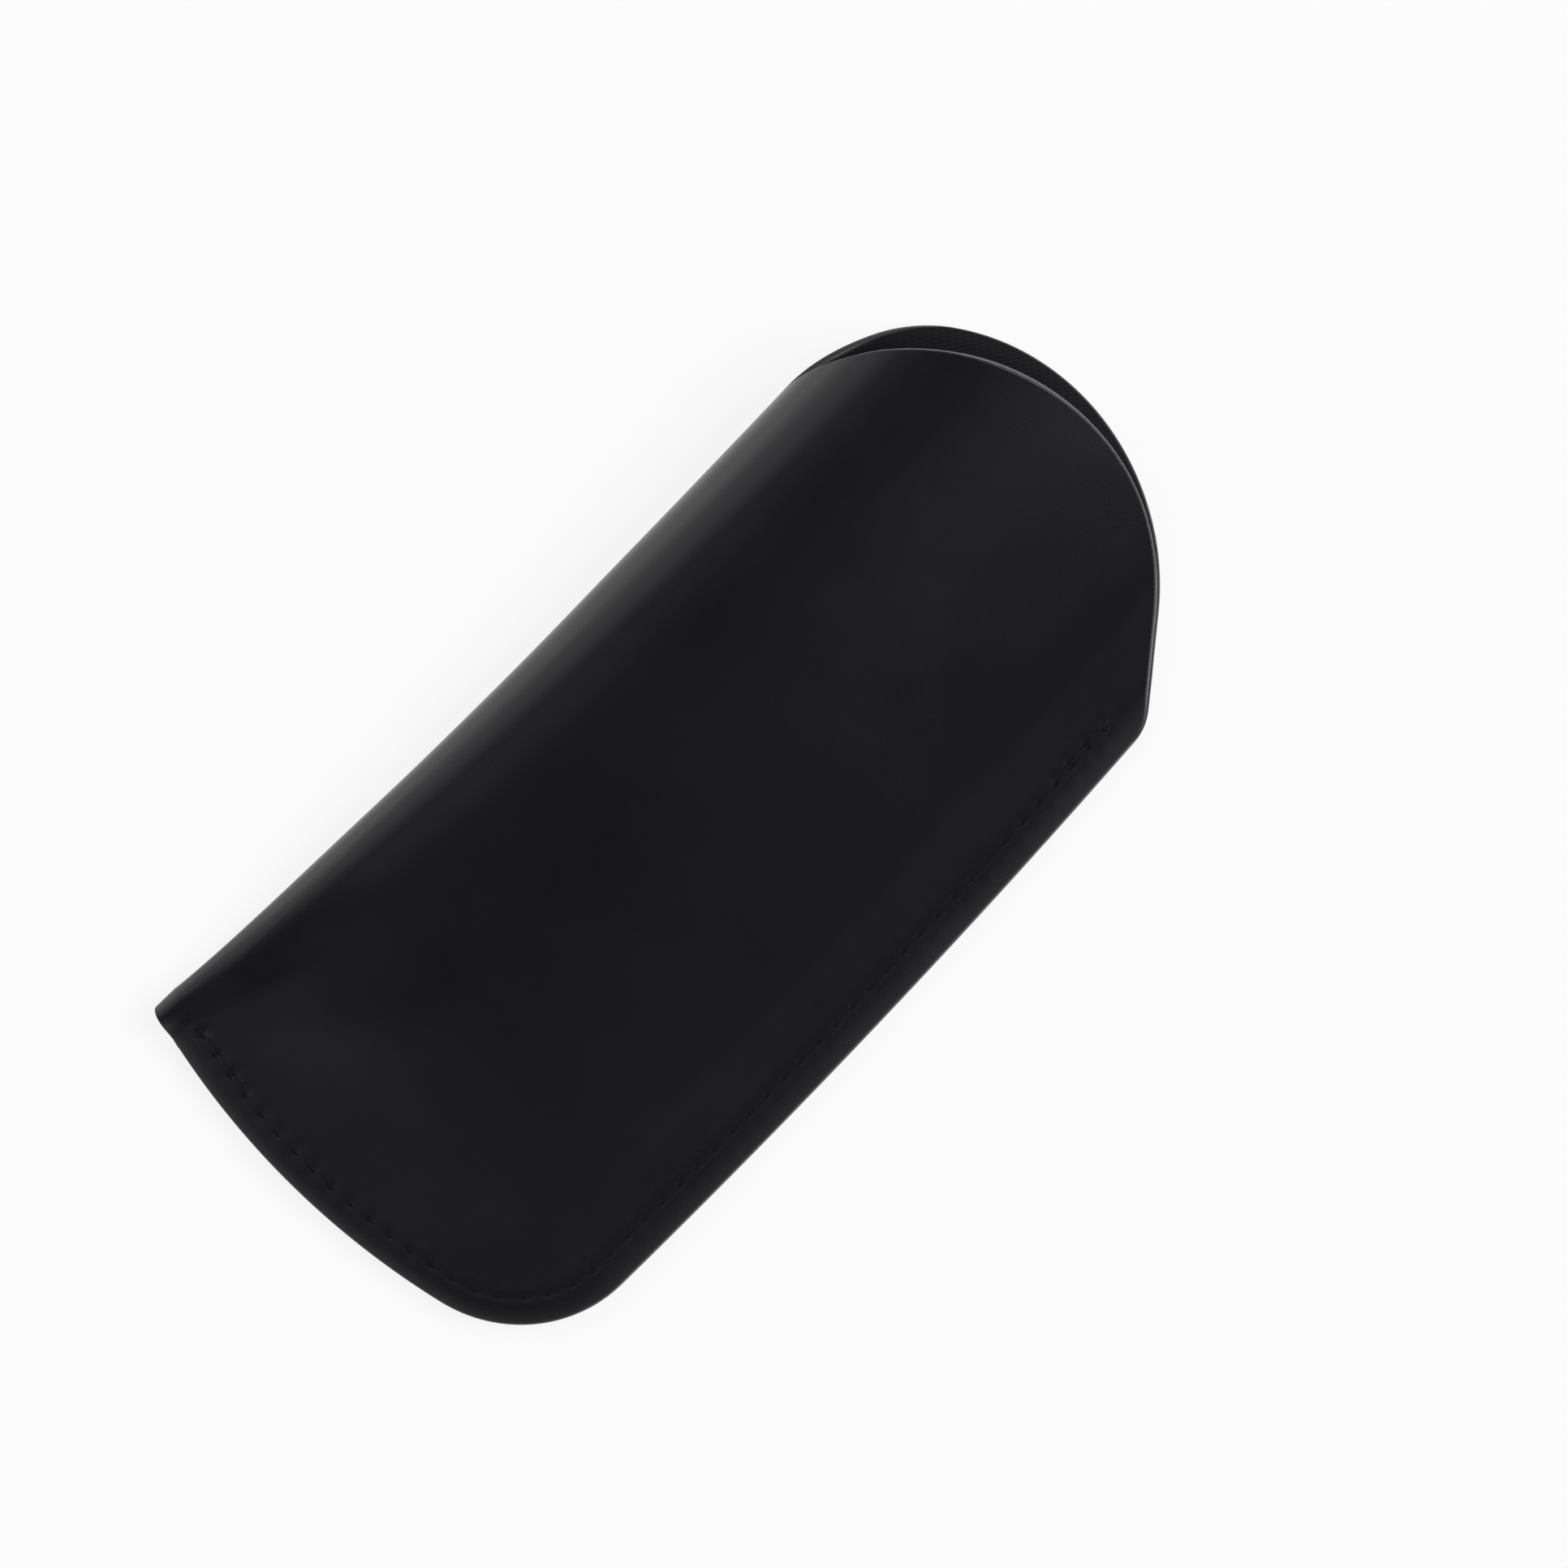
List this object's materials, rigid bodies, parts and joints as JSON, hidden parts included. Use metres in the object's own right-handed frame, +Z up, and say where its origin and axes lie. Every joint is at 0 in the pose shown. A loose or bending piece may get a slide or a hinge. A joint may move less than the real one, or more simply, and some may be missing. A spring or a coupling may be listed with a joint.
{
  "type": "multi tool sheath",
  "caption": "Soft slip sheath for a folding pocket multi tool: a lined leather wrap folded along one side, stitched along the other side and the bottom, with a domed open mouth.",
  "frame": {"origin": "middle of the sheath's outline, on the surface that it lies on", "axes": "+Y along the sheath towards the mouth, +X across it from the fold to the seam, +Z up out of the front panel"},
  "size_m": [0.0606, 0.1284, 0.0149],
  "materials": {
    "leather": "satin black coated leather with a very fine embossed dot grain",
    "lining": "matte black fine twill",
    "thread": "black bonded polyester thread",
    "edge_coat": "smooth semi-gloss dark edge coat"
  },
  "bodies": {
    "root": {"cover": "leather", "lining": "lining", "needle_thread": "thread", "bobbin_thread": "thread", "mouth_edge_coat": "edge_coat", "seam_edge_coat": "edge_coat"}
  },
  "joints": []
}
